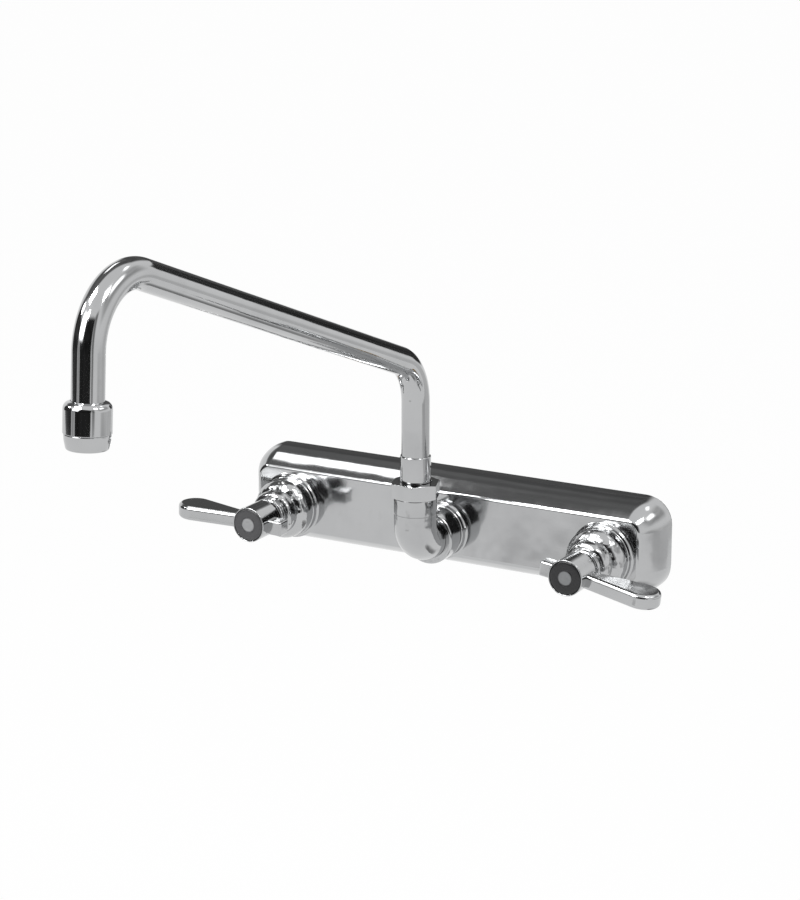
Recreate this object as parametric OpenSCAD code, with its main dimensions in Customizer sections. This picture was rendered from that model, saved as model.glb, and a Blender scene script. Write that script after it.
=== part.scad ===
// Splash-mounted commercial faucet: a long cast body flat on the wall, two
// quarter-turn lever valves and a swing spout on a swivel elbow.
//
// Millimetres. The origin is on the wall plane, midway between the two valves
// and at the height of their axes. +X runs along the body to the right, -Y
// comes out of the wall and +Z is up. Sizes called "out" are measured from the
// wall plane towards the user.

/* [Valve layout] */
// Distance between the hot and the cold valve, centre to centre
valve_centres = 203.2; // [180:0.1:230]
// Angle at which the hot lever rests, tip above level
hot_rest_angle = 2.5; // [-10:0.5:10]
// Angle at which the cold lever rests, tip above level
cold_rest_angle = -7.5; // [-10:0.5:10]

/* [Wall gasket] */
// Thickness of the rubber sheet between body and wall
gasket_t = 2; // [1:0.1:4]
// How far the sheet stays inside the edge of the casting
gasket_inset = 0.8; // [0.2:0.1:3]
// Gap round the shank where it passes the sheet
gasket_hole_gap = 1; // [0.4:0.1:3]

/* [Body casting] */
// How far the casting runs past each valve centre, at the wall
end_overhang = 30.8; // [28:0.1:45]
// Height of the casting at the wall
body_h = 55; // [50:0.5:65]
// How far the middle of the casting lies above the valve axes
body_rise = 3.6; // [0:0.1:6]
// Distance from the wall to the flat front face
face_out = 27; // [25:0.1:32]
// How much further in the ends of the front face lie
end_draft = 7.4; // [4:0.1:10]
// How much further in its top and bottom edges lie
edge_draft = 7.7; // [4:0.1:9]
// Corner radius at the wall
back_corner_r = 16; // [12:0.5:20]
// Corner radius of the front face
front_corner_r = 9.5; // [7:0.5:12]
// Straight rim at the wall before the sides slope in
rim_t = 4; // [2:0.1:6]
// Small break where the front face meets the sides
face_edge = 1.6; // [0.8:0.1:2.5]
// Thickness of the cast walls
cast_wall = 3.4; // [2.5:0.1:4.5]
// Radius of the round pads that carry the bonnets
pad_r = 18; // [17.8:0.1:19]
// Radius of the round pad that carries the spout elbow
union_pad_r = 15.4; // [15:0.1:16]
// How far the pads stand proud of the front face
pad_h = 4; // [3:0.1:6]
// Radius of the valve bosses inside the casting
boss_r = 17.2; // [16.5:0.1:18.5]
// Bore of the cross waterway
way_r = 4.2; // [3.5:0.1:4.5]
// Metal round the cross waterway
way_wall = 2.4; // [2:0.1:2.5]

/* [Valve chamber] */
// Distance from the wall to the floor that the cartridge seats on
seat_out = 15.5; // [15:0.1:16.5]
// Thickness of that floor
floor_t = 2.5; // [2:0.1:3]
// Depth of the pocket that centres the cartridge
pocket_h = 2; // [1.5:0.1:2.5]
// Water space round the cartridge
chamber_gap = 1.7; // [1.2:0.1:2]
// Length of the threaded neck in front of the pad
neck_h = 6.5; // [5:0.1:8]
// Metal of the threaded neck round the cartridge
neck_wall = 2.1; // [1.8:0.1:2.4]

/* [Inlet shanks] */
// Outside radius of the half inch straight pipe thread
shank_r = 10.45; // [10:0.05:11]
// How much larger in radius the clamping thread in front of it is
clamp_step = 0.35; // [0.3:0.05:0.6]
// Clamping thread that shows behind the lock nut
clamp_tail = 0.5; // [0.5:0.1:3]
// Bore of the shank
shank_bore_r = 6.5; // [5:0.1:7.5]
// Length of shank behind the wall plane
shank_back = 40; // [36:1:80]
// Thickness of wall that is left between gasket and washers
wall_grip = 12; // [6:0.5:20]
// Radius of the washers behind the wall
washer_r = 16.5; // [14:0.1:19]
// Thickness of the rubber washer
rubber_washer_t = 2; // [1:0.1:3]
// Thickness of the steel washer
steel_washer_t = 1.5; // [1:0.1:3]
// Lock nut across flats
lock_nut_af = 31.8; // [27:0.1:36]
// Lock nut thickness
lock_nut_t = 8; // [6:0.1:12]

/* [Cartridges] */
// Outside radius of the cartridge barrel
cart_r = 12; // [11.8:0.05:12.2]
// Radius of the disc space inside the barrel
cart_cavity_r = 9.6; // [9.2:0.1:9.8]
// Height of the rubber seat seal
seal_h = 1.6; // [1.2:0.1:2]
// Thickness of each ceramic disc
disc_t = 3; // [2.5:0.1:3.5]
// Half angle of the two ports in each disc
port_half_angle = 30; // [20:1:38]
// Thickness of the flange that the bonnet holds down
cart_flange_t = 2.5; // [2:0.1:3]
// Radius of the cartridge nose round the stem
nose_r = 7.6; // [7:0.1:8]
// Height of the windows that let the water out at the side
window_h = 3; // [2.5:0.1:3.5]
// Width of those windows
window_w = 7; // [5:0.1:8]

/* [Stems] */
// Radius of the stem
stem_r = 4.5; // [4.2:0.1:4.8]
// Radius of the foot that drives the upper disc
stem_foot_r = 6; // [5.5:0.1:6.5]
// Thickness of that foot
stem_foot_t = 2; // [1.6:0.1:2.4]
// Thickness of the tang that fits the disc
tang_t = 2.6; // [2:0.1:3]
// How deep the tang sits in the disc
tang_h = 1.4; // [1:0.1:1.6]
// Section radius of the stem seals
stem_ring_r = 0.8; // [0.6:0.05:0.9]
// Distance between the two stem seals
stem_ring_pitch = 5; // [4:0.1:6]

/* [Bonnets] */
// Radius of the bonnet's bell at its foot
bell_r = 17.6; // [17.3:0.1:17.8]
// Height of the bell
bell_h = 11.5; // [11:0.1:12]
// Rounding of the bell's shoulder
bell_round = 7; // [6:0.1:7.2]
// Radius of the collar in front of the bell
bonnet_collar_r = 13.2; // [12.8:0.1:14]
// Height of that collar
bonnet_collar_h = 7.7; // [7:0.1:9]
// Rounding of the collar
bonnet_collar_round = 3; // [1.5:0.1:3.2]
// Radius of the bonnet's nose
bonnet_nose_r = 10.3; // [10:0.1:10.6]
// Height of the nose
bonnet_nose_h = 3.4; // [3:0.1:4]
// Rounding of the nose
bonnet_nose_round = 1.3; // [0.8:0.1:1.6]

/* [Levers] */
// Radius of the lever hub
hub_r = 10.3; // [10:0.1:11]
// Distance from the wall to the front rim of the hub
hub_front_out = 74.4; // [74:0.1:78]
// Length of the hub along the stem
hub_len = 19.8; // [18:0.1:20.2]
// Distance from the stem axis to the tip of the lever
lever_len = 52.4; // [48:0.1:75]
// Width of the lever at its root
lever_root_w = 8.8; // [7:0.1:10]
// Width of the lever at its paddle
lever_tip_w = 20.6; // [16:0.1:24]
// Thickness of the lever
lever_t = 8.6; // [6:0.1:10]
// How far the lever's middle lies below the stem axis
lever_drop = 1; // [0:0.1:1.5]
// Rounding of the lever's long edges
lever_edge = 2.2; // [0.8:0.1:2.4]
// Length of the short tail behind the hub, from the stem axis
tail_len = 18.5; // [15:0.1:24]
// Distance from the wall to the middle of the lever
lever_out = 64.5; // [64:0.1:65.5]

/* [Index buttons] */
// Radius of the coloured button
button_r = 9.5; // [9:0.1:9.6]
// Thickness of the button
button_t = 2; // [1.6:0.1:2.2]
// Height of the low dome on the button
button_crown = 0.5; // [0.3:0.1:0.8]
// Head radius of the screw under the button
screw_head_r = 3.6; // [3.2:0.1:4]
// Head height of that screw
screw_head_h = 2.2; // [1.8:0.1:2.4]
// Thread radius of that screw
screw_r = 2; // [1.8:0.1:2.2]
// Length of its thread in the stem
screw_len = 9; // [7:0.5:11]

/* [Outlet elbow] */
// Distance from the wall to the axis of the spout
spout_out = 58.5; // [57:0.1:64]
// Length of the union neck in front of the pad
union_neck_h = 5.4; // [4.5:0.1:6.5]
// Radius of the union neck
union_neck_r = 13.6; // [13.4:0.1:14]
// Thickness of the union washer
union_washer_t = 1.6; // [1.2:0.1:2]
// Thickness of the elbow flange
union_flange_t = 3; // [2.5:0.1:3.5]
// Radius of the round union nut
union_nut_r = 15.8; // [15.6:0.1:18]
// Thickness of the lip that holds the flange
union_lip_t = 4; // [3:0.1:4.5]
// How far the union nut reaches back over the neck
union_nut_grip = 3.6; // [2.5:0.1:4]
// Outside radius of the elbow
elbow_r = 12.2; // [11.6:0.1:12.4]
// Bore of the elbow
elbow_bore_r = 6.5; // [5.5:0.1:7]
// Bend radius of the elbow along its axis
elbow_turn_r = 12.7; // [12.6:0.1:14]
// Height of the elbow's top shoulder above the valve axes
elbow_top = 27.8; // [27:0.1:34]
// Height of the parting line round the elbow
elbow_line = 18.6; // [17:0.1:20]
// Depth of that line
elbow_line_depth = 0.25; // [0.15:0.05:0.4]
// Height of the line
elbow_line_h = 0.7; // [0.5:0.1:1]
// Radius of the threaded neck under the packing nut
packing_neck_r = 10.5; // [10.3:0.1:10.7]
// Height of that neck
packing_neck_h = 3.8; // [3.2:0.1:4.2]

/* [Packing nut] */
// Packing nut across flats
packing_nut_af = 25.4; // [25.2:0.1:30]
// Height of the packing nut
packing_nut_h = 9; // [8.8:0.1:10]
// Chamfer of its top corners
packing_nut_chamfer = 0.8; // [0.6:0.1:2]
// How far the nut is turned on its thread, as it was tightened
packing_nut_turn = 10; // [0:1:60]
// Thickness of the nylon friction washer
friction_washer_t = 0.8; // [0.6:0.1:1]
// Thickness of the spring ring that keeps the spout in
spring_ring_t = 1.8; // [1.4:0.1:1.9]
// Outside radius of the spring ring
spring_ring_r = 10.2; // [9.6:0.1:10.3]

/* [Spout swivel] */
// Radius of the journal that turns in the elbow
journal_r = 8; // [7.8:0.1:8.2]
// Bore of the swivel
swivel_bore_r = 4.6; // [4:0.1:4.8]
// Height of the journal's lower end above the valve axes
journal_foot = 9; // [8:0.1:11]
// Wall of the sleeve round the foot of the spout
sleeve_wall = 0.6; // [0.5:0.05:1.2]
// Height of the sleeve
sleeve_h = 14.8; // [12:0.1:18]
// How far the tube stands in the sleeve
tube_socket = 11.5; // [8:0.1:12]
// Section radius of the spout seals
spout_ring_r = 1; // [0.8:0.05:1.1]
// Distance between the two spout seals
spout_ring_pitch = 6; // [5:0.1:7]

/* [Spout tube] */
// Outside radius of the tube
tube_r = 8; // [7.5:0.1:9]
// Wall thickness of the tube
tube_wall = 1.2; // [0.8:0.1:1.6]
// Reach from the swivel axis to the corner over the outlet
spout_reach = 304.8; // [200:0.1:360]
// Height at which the riser and the run meet, above the valve axes
riser_corner = 103.3; // [95:0.1:140]
// Height at which the run and the outlet leg meet
outlet_corner = 218.9; // [190:0.1:240]
// Bend radius over the riser
riser_bend_r = 30; // [24:0.5:40]
// Bend radius over the outlet
outlet_bend_r = 33; // [26:0.5:38]
// Outward slant of the outlet leg
leg_slant = 4.4; // [0:0.1:8]
// Distance down the leg from the corner to the outlet collar
leg_len = 66.4; // [62:0.1:90]

/* [Outlet collar and aerator] */
// Radius of the collar
collar_r = 11.6; // [11.2:0.1:12.5]
// Rounding of the collar's shoulder
shoulder_h = 3.7; // [3:0.1:4.5]
// Length of the collar
collar_len = 15.1; // [14:0.1:20]
// How far the tube stands in the collar
collar_socket = 8.5; // [7:0.1:9]
// Outside radius of the aerator thread
aerator_thread_r = 10.2; // [10:0.1:10.3]
// Length of the aerator thread
aerator_thread_h = 4.5; // [3.8:0.1:4.6]
// Visible length of the aerator below the collar
aerator_h = 7.8; // [5:0.1:9]
// Radius of the aerator's lower rim
aerator_rim_r = 9.8; // [9.4:0.1:10.4]
// Bore of the aerator
aerator_bore_r = 8.4; // [8:0.1:8.6]
// Width of the lip that holds the insert
aerator_lip = 0.8; // [0.6:0.1:1]
// Height of that lip
aerator_lip_h = 1.2; // [0.8:0.1:1.6]
// Thickness of the screen
screen_t = 0.8; // [0.6:0.1:1]
// Holes across the screen
screen_holes = 7; // [5:1:9]
// Thickness of the aerator washer
aerator_washer_t = 1.4; // [1:0.1:1.5]

/* [Hidden] */
$fn = 72;

// Sides, as signs along X
hot = -1;
cold = 1;

// Clearances and the one overrun for cuts
run_clear = 0.06;
slip_clear = 0.1;
part_gap = 0.3;
face_gap = 0.04;
over = 1;

// Casting
half_len = valve_centres / 2 + end_overhang;
half_h = body_h / 2;
pad_out = face_out + pad_h;
neck_out = pad_out + neck_h;
chamber_r = cart_r + chamber_gap;
neck_bore_r = cart_r + slip_clear;
neck_r = neck_bore_r + neck_wall;
clamp_r = shank_r + clamp_step;
inlet_r = clamp_r + slip_clear;
clamp_back = wall_grip + rubber_washer_t + steel_washer_t + lock_nut_t + clamp_tail;
floor_back = seat_out - floor_t;
way_out = seat_out + way_r + slip_clear;
crown_out_share = 0.6;
crown_draft_share = 0.38;
pad_root_share = 0.66;
pad_blend = 1.2;
chamber_top_share = 0.25;
outlet_boss_share = 0.84;

// Cartridge, from the seat forwards
cart_out = seat_out + seal_h / 2;
disc_seat = seat_out + seal_h;
disc_join = disc_seat + disc_t;
disc_top = disc_join + face_gap + disc_t;
foot_out = disc_top + face_gap;
cavity_top = foot_out + stem_foot_t + window_h;
disc_r = cart_cavity_r - part_gap;
stem_bore_r = stem_r + run_clear;
flange_r = neck_r - slip_clear;
cart_flange_out = neck_out;
window_lift = slip_clear;
port_rim_share = 0.6;

// Bonnet, from the pad forwards
bonnet_out = pad_out + slip_clear;
bell_top = bonnet_out + bell_h;
bonnet_collar_top = bell_top + bonnet_collar_h;
bonnet_top = bonnet_collar_top + bonnet_nose_h;
bell_rim = 0.4;
bonnet_ceiling = neck_out + cart_flange_t + slip_clear;
nose_top = bonnet_top - part_gap;

// Lever
hub_back_out = hub_front_out - hub_len;
button_out = hub_front_out - button_t;
crown_r_share = 0.7;
crown_h_share = 0.4;
screw_seat = button_out - part_gap - screw_head_h;
screw_web = 1.6;
stem_top = screw_seat - screw_web;
hub_taper = 2.4;
hub_rim = 0.35;
root_share = 0.8;
root_x = hub_r * root_share;
paddle_r = lever_tip_w / 2;
tail_half = lever_root_w / 2;
tail_round = 1.2;
stem_ring_out = nose_top - stem_ring_r * 4;
driver_w = 0.9;
driver_depth = 0.9;

// Elbow
union_neck_out = pad_out + union_neck_h;
flange_back = union_neck_out + union_washer_t;
flange_front = flange_back + union_flange_t;
union_back = union_neck_out - union_nut_grip;
union_front = flange_front + union_lip_t;
union_inner_r = union_neck_r + slip_clear;
elbow_hole_r = journal_r + run_clear;
elbow_seat = journal_foot - part_gap;
union_round = 1.3;
flange_slack = slip_clear;
elbow_turn_out = spout_out - elbow_turn_r;

// Packing nut and swivel, from the elbow's shoulder upwards
packing_neck_top = elbow_top + packing_neck_h;
ring_floor = packing_neck_top + friction_washer_t;
ring_low = ring_floor + slip_clear;
nut_top = elbow_top + packing_nut_h;
nut_inner_r = packing_neck_r + slip_clear;
nut_ceiling = ring_low + spring_ring_t + part_gap;
nut_hole_r = journal_r + part_gap;
sleeve_low = nut_top + part_gap;
sleeve_top = sleeve_low + sleeve_h;
sleeve_r = tube_r + slip_clear + sleeve_wall;
tube_foot = sleeve_top - tube_socket;
ring_groove_r = journal_r - spout_ring_r * 2;
seal_low = journal_foot + spout_ring_r * 4;
sleeve_flare = 0.25;
sleeve_flare_h = 1.4;
spring_groove_depth = 1;
spring_slot = 2.4;

// Spout path, in the plane of the reach (first) and the height (second)
run_angle = atan2(outlet_corner - riser_corner, spout_reach);
riser_turn = 90 - run_angle;
outlet_turn = 90 + run_angle - leg_slant;
riser_tangent = riser_bend_r * tan(riser_turn / 2);
outlet_tangent = outlet_bend_r * tan(outlet_turn / 2);
corner_1 = [0, riser_corner];
corner_2 = [spout_reach, outlet_corner];
run_dir = [cos(run_angle), sin(run_angle)];
leg_dir = [sin(leg_slant), -cos(leg_slant)];
bend_1_start = corner_1 - [0, riser_tangent];
bend_1_end = corner_1 + run_dir * riser_tangent;
bend_2_start = corner_2 - run_dir * outlet_tangent;
bend_2_end = corner_2 + leg_dir * outlet_tangent;
tube_end = leg_len + collar_socket;
seam_step = 0.05;
seam_lap = 0.8;

// Aerator, measured down the leg from the corner
collar_end = leg_len + collar_len;
aerator_start = collar_end - aerator_thread_h;
aerator_end = collar_end + aerator_h;
thread_bore_r = aerator_thread_r + slip_clear;
washer_start = aerator_start - aerator_washer_t;
screen_start = aerator_end - aerator_lip_h - screen_t;
insert_start = aerator_start + part_gap;
insert_holes = 8;
hole_share = 0.62;
insert_hole_share = 0.16;
insert_ring_share = 0.62;
collar_mouth = 0.35;
shoulder_arc = 60;

// Colours
chrome = [0.78, 0.79, 0.80];
brass = [0.80, 0.66, 0.36];
steel = [0.62, 0.63, 0.65];
rubber = [0.10, 0.10, 0.10];
ceramic = [0.92, 0.91, 0.88];
nylon = [0.86, 0.85, 0.80];
hot_grey = [0.31, 0.31, 0.32];
cold_grey = [0.15, 0.15, 0.16];

// Frames. Inside on_wall the third axis points out of the wall and the second
// points up; inside at_valve it is centred on a valve as well.
module on_wall() rotate([90, 0, 0]) children();
module at_valve(side) translate([side * valve_centres / 2, 0, 0]) on_wall() children();
module for_valves() for (side = [hot, cold]) at_valve(side) children();
module lift(h) translate([0, 0, h]) children();

// The plane of the spout: first axis along the reach, second axis up.
module in_spout_plane() translate([0, -spout_out, 0]) rotate([90, 0, -90]) children();
// On the outlet leg, with the third axis pointing down the leg.
module on_leg(along) {
    p = corner_2 + leg_dir * along;
    in_spout_plane()
        translate([p.x, p.y, 0]) rotate([0, 0, leg_slant - 90]) rotate([0, 90, 0]) children();
}

module ring(r_out, r_in, h) difference() {
    cylinder(r = r_out, h = h);
    lift(-over) cylinder(r = r_in, h = h + over * 2);
}
module o_ring(r, section_r) rotate_extrude() translate([r - section_r, 0]) circle(section_r, $fn = 32);
module hex(af, h) cylinder(r = af / sqrt(3), h = h, $fn = 6);

// A round bar bent in the plane of the first two axes, about a centre there.
module bend_solid(centre, bend_r, from_angle, turn, r)
    translate([centre.x, centre.y, 0]) rotate([0, 0, from_angle])
        rotate_extrude(angle = turn) translate([bend_r, 0]) circle(r);

// Points of a quarter circle for turned profiles, from one angle to another.
function arc(cx, cy, r, a0, a1, n = 6) =
    [for (i = [0:n]) [cx + r * cos(a0 + (a1 - a0) * i / n), cy + r * sin(a0 + (a1 - a0) * i / n)]];

// Casting

module body_plate(len_half, height_half, corner, inset, t)
    translate([0, body_rise, 0]) linear_extrude(t) polygon([
        for (q = [0:3]) each arc(
            (q == 0 || q == 3 ? 1 : -1) * (len_half - inset - corner),
            (q < 2 ? 1 : -1) * (height_half - inset - corner),
            corner, q * 90, q * 90 + 90, 8)]);

// The outer form grows from the rim at the wall to the smaller flat face.
module body_form() hull() {
    lift(gasket_t) body_plate(half_len, half_h, back_corner_r, 0, rim_t);
    lift(gasket_t + (face_out - gasket_t) * crown_out_share)
        body_plate(half_len - end_draft * crown_draft_share, half_h - edge_draft * crown_draft_share,
            back_corner_r - end_draft * crown_draft_share, 0, face_edge);
    lift(face_out - face_edge * 2)
        body_plate(half_len - end_draft, half_h - edge_draft, front_corner_r, 0, face_edge);
    lift(face_out - face_edge)
        body_plate(half_len - end_draft, half_h - edge_draft, front_corner_r - face_edge, face_edge, face_edge);
}

module body_hollow() hull() {
    lift(-over) body_plate(half_len, half_h, back_corner_r - cast_wall, cast_wall, gasket_t + rim_t);
    lift(face_out - cast_wall - face_edge)
        body_plate(half_len - end_draft, half_h - edge_draft, front_corner_r - cast_wall, cast_wall, face_edge);
}

module pad(r) {
    lift(face_out * pad_root_share)
        cylinder(r = r, h = pad_out - pad_blend - face_out * pad_root_share);
    lift(pad_out - pad_blend) cylinder(r1 = r, r2 = r - pad_blend / 2, h = pad_blend);
}

module body_casting() color(chrome) on_wall() difference() {
    union() {
        difference() {
            body_form();
            body_hollow();
        }
        for (x = [-1, 1]) translate([x * valve_centres / 2, 0, 0]) pad(pad_r);
        pad(union_pad_r);
        for (x = [-1, 1]) translate([x * valve_centres / 2, 0, 0]) {
            lift(gasket_t) cylinder(r = boss_r, h = face_out - gasket_t);
            lift(face_out) cylinder(r = neck_r, h = neck_out - face_out);
        }
        lift(face_out) cylinder(r = union_neck_r, h = union_neck_out - face_out);
        translate([-valve_centres / 2, 0, way_out]) rotate([0, 90, 0])
            cylinder(r = way_r + way_wall, h = valve_centres);
        lift(way_out - way_r - way_wall)
            cylinder(r = union_neck_r * outlet_boss_share, h = face_out - way_out + way_r + way_wall);
    }
    for (x = [-1, 1]) translate([x * valve_centres / 2, 0, 0]) {
        lift(gasket_t - over) cylinder(r = inlet_r, h = floor_back - gasket_t + over);
        lift(floor_back - over) cylinder(r = shank_bore_r, h = floor_t + over * 2);
        lift(seat_out) cylinder(r = neck_bore_r, h = neck_out - seat_out + over);
        lift(seat_out + pocket_h)
            cylinder(r = chamber_r, h = face_out - seat_out - pocket_h + pad_h * chamber_top_share);
    }
    translate([-valve_centres / 2, 0, way_out]) rotate([0, 90, 0])
        cylinder(r = way_r, h = valve_centres);
    lift(way_out) cylinder(r = elbow_bore_r, h = union_neck_out - way_out + over);
}

module wall_gasket() color(rubber) on_wall() difference() {
    body_plate(half_len, half_h, back_corner_r - gasket_inset, gasket_inset, gasket_t);
    for (x = [-1, 1]) translate([x * valve_centres / 2, 0, -over])
        cylinder(r = clamp_r + gasket_hole_gap, h = gasket_t + over * 2);
}

// Inlet shanks and what clamps them behind the wall

module shank(side) color(brass) at_valve(side) difference() {
    union() {
        lift(-shank_back) cylinder(r = shank_r, h = shank_back - clamp_back);
        lift(-clamp_back) cylinder(r = clamp_r, h = clamp_back + floor_back - slip_clear);
    }
    lift(-shank_back - over) cylinder(r = shank_bore_r, h = shank_back + floor_back + over * 2);
}
module hot_shank() shank(hot);
module cold_shank() shank(cold);

module shank_rubber_washers() color(rubber) for_valves()
    lift(-wall_grip - rubber_washer_t) ring(washer_r, inlet_r, rubber_washer_t);
module shank_steel_washers() color(steel) for_valves()
    lift(-wall_grip - rubber_washer_t - steel_washer_t) ring(washer_r, inlet_r, steel_washer_t);
module shank_lock_nuts() color(brass) for_valves()
    lift(-wall_grip - rubber_washer_t - steel_washer_t - lock_nut_t) difference() {
        hex(lock_nut_af, lock_nut_t);
        lift(-over) cylinder(r = inlet_r, h = lock_nut_t + over * 2);
    }

// Cartridge, sealing and ceramic discs

module seat_seal(side) color(rubber) at_valve(side)
    lift(seat_out) ring(disc_r, shank_bore_r, seal_h);
module hot_seat_seal() seat_seal(hot);
module cold_seat_seal() seat_seal(cold);

module cartridge(side) color(brass) at_valve(side) difference() {
    union() {
        lift(cart_out) cylinder(r = cart_r, h = cart_flange_out - cart_out);
        lift(cart_flange_out) cylinder(r = flange_r, h = cart_flange_t);
        lift(cart_flange_out) cylinder(r = nose_r, h = nose_top - cart_flange_out);
    }
    lift(cart_out - over) cylinder(r = cart_cavity_r, h = cavity_top - cart_out + over);
    lift(cart_out) cylinder(r = stem_bore_r, h = nose_top - cart_out + over);
    for (a = [0, 90]) rotate([0, 0, a]) translate([-cart_r * 2, -window_w / 2, cavity_top - window_h + window_lift])
        cube([cart_r * 4, window_w, window_h - window_lift * 2]);
}
module hot_cartridge() cartridge(hot);
module cold_cartridge() cartridge(cold);

// A ceramic disc with two opposite ports, cut as sectors of a ring.
module ported_disc(r) difference() {
    cylinder(r = r, h = disc_t);
    for (a = [0, 180]) rotate([0, 0, a]) intersection() {
        lift(-over) ring(r - tang_t * port_rim_share, tang_t, disc_t + over * 2);
        rotate([0, 0, -port_half_angle]) rotate_extrude(angle = port_half_angle * 2)
            translate([0, -over]) square([r, disc_t + over * 2]);
    }
}
module lower_disc(side) color(ceramic) at_valve(side) lift(disc_seat) ported_disc(disc_r);
module hot_lower_disc() lower_disc(hot);
module cold_lower_disc() lower_disc(cold);

// The upper disc stands a quarter turn away from the lower one: closed.
module upper_disc(side) color(ceramic) at_valve(side) lift(disc_join + face_gap) difference() {
    rotate([0, 0, 90]) ported_disc(disc_r);
    translate([-stem_foot_r - slip_clear, -tang_t / 2 - slip_clear, disc_t - tang_h - slip_clear])
        cube([(stem_foot_r + slip_clear) * 2, tang_t + slip_clear * 2, tang_h + over]);
}
module hot_upper_disc() upper_disc(hot);
module cold_upper_disc() upper_disc(cold);

module stem(side) color(brass) at_valve(side) difference() {
    union() {
        lift(foot_out) cylinder(r = stem_foot_r, h = stem_foot_t);
        lift(foot_out) cylinder(r = stem_r, h = stem_top - foot_out);
        intersection() {
            translate([-stem_foot_r, -tang_t / 2, foot_out - face_gap - tang_h])
                cube([stem_foot_r * 2, tang_t, tang_h + stem_foot_t]);
            lift(foot_out - face_gap - tang_h) cylinder(r = stem_foot_r, h = tang_h + stem_foot_t);
        }
    }
    for (i = [0, 1]) lift(stem_ring_out - i * stem_ring_pitch - stem_ring_r - slip_clear)
        ring(stem_r + over, stem_r - stem_ring_r * 2, stem_ring_r * 2 + slip_clear * 2);
    lift(stem_top - screw_len) cylinder(r = screw_r + slip_clear, h = screw_len + over);
}
module hot_stem() stem(hot);
module cold_stem() stem(cold);

module stem_seals(side) color(rubber) at_valve(side)
    for (i = [0, 1]) lift(stem_ring_out - i * stem_ring_pitch) o_ring(stem_r, stem_ring_r);
module hot_stem_seals() stem_seals(hot);
module cold_stem_seals() stem_seals(cold);

// Bonnet: a turned bell with a collar and a nose, hollow over the neck and the nose

// The rounded shoulder of a step, from its side as far in as the next step.
function shoulder(r, top, round_r, next_r) =
    arc(r - round_r, top - round_r, round_r, 0, acos(max(0, next_r - r + round_r) / round_r));

module bonnet(side) color(chrome) at_valve(side) difference() {
    rotate_extrude() polygon(concat(
        [[0, bonnet_out], [bell_r - bell_rim, bonnet_out], [bell_r, bonnet_out + bell_rim]],
        shoulder(bell_r, bell_top, bell_round, bonnet_collar_r),
        shoulder(bonnet_collar_r, bonnet_collar_top, bonnet_collar_round, bonnet_nose_r),
        shoulder(bonnet_nose_r, bonnet_top, bonnet_nose_round, 0),
        [[0, bonnet_top]]));
    lift(bonnet_out - over) cylinder(r = neck_r + slip_clear, h = bonnet_ceiling - bonnet_out + over);
    lift(bonnet_out) cylinder(r = nose_r + slip_clear, h = bonnet_top - bonnet_out + over);
}
module hot_bonnet() bonnet(hot);
module cold_bonnet() bonnet(cold);

// Lever, seen from the front: the hub round the stem, a paddle and a tail

module paddle_outline(inset) hull() {
    translate([root_x, lever_out]) circle(lever_root_w / 2 - inset, $fn = 32);
    translate([lever_len - paddle_r, lever_out]) circle(paddle_r - inset, $fn = 48);
}
module tail_outline() translate([-tail_len, lever_out - tail_half])
    square([tail_len - root_x + tail_half, lever_root_w]);
// Turns an outline in reach and out into a plate that is level.
module level_plate(t) translate([0, -lever_drop, 0]) rotate([90, 0, 0])
    linear_extrude(t, center = true) children();

module lever(side, rest_angle) color(chrome) at_valve(side)
    mirror([side < 0 ? 1 : 0, 0, 0]) rotate([0, 0, rest_angle]) difference() {
        union() {
            rotate_extrude() polygon(concat(
                [[0, hub_back_out], [hub_r - hub_taper, hub_back_out]],
                arc(hub_r - hub_taper, hub_back_out + hub_taper, hub_taper, -90, 0),
                [[hub_r, hub_front_out - hub_rim], [hub_r - hub_rim, hub_front_out], [0, hub_front_out]]));
            hull() {
                level_plate(lever_t - lever_edge * 2) paddle_outline(0);
                level_plate(lever_t) paddle_outline(lever_edge);
            }
            hull() {
                level_plate(lever_t - tail_round * 2) tail_outline();
                level_plate(lever_t) offset(delta = -tail_round) tail_outline();
            }
        }
        lift(hub_back_out - over) cylinder(r = stem_r + slip_clear, h = stem_top - hub_back_out + over);
        lift(stem_top - over) cylinder(r = screw_r + slip_clear, h = screw_web + over * 2);
        lift(screw_seat) cylinder(r = screw_head_r + part_gap, h = hub_front_out - screw_seat);
        lift(button_out) cylinder(r = button_r + slip_clear, h = button_t + over);
    }
module hot_lever() lever(hot, hot_rest_angle);
module cold_lever() lever(cold, cold_rest_angle);

module lever_screw(side) color(steel) at_valve(side) difference() {
    union() {
        lift(screw_seat) cylinder(r = screw_head_r, h = screw_head_h);
        lift(stem_top - screw_len + slip_clear) cylinder(r = screw_r, h = screw_seat - stem_top + screw_len);
    }
    for (a = [0, 90]) rotate([0, 0, a])
        translate([-screw_r, -driver_w / 2, screw_seat + screw_head_h - driver_depth])
            cube([screw_r * 2, driver_w, driver_depth + over]);
}
module hot_lever_screw() lever_screw(hot);
module cold_lever_screw() lever_screw(cold);

// Plain snap-in button with a low dome
module index_button(side, tint) color(tint) at_valve(side) rotate_extrude() polygon([
    [0, button_out], [button_r, button_out], [button_r, hub_front_out - button_crown],
    [button_r * crown_r_share, hub_front_out - button_crown * crown_h_share], [0, hub_front_out]]);
module hot_index_button() index_button(hot, hot_grey);
module cold_index_button() index_button(cold, cold_grey);

// Union and elbow

module union_washer() color(rubber) on_wall()
    lift(union_neck_out) ring(union_neck_r - slip_clear, elbow_bore_r, union_washer_t);

// The quarter turn from the flange towards the wall up into the barrel.
module elbow_bend(r) in_spout_plane() bend_solid([-elbow_turn_r, elbow_turn_r], elbow_turn_r, -90, 90, r);

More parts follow.
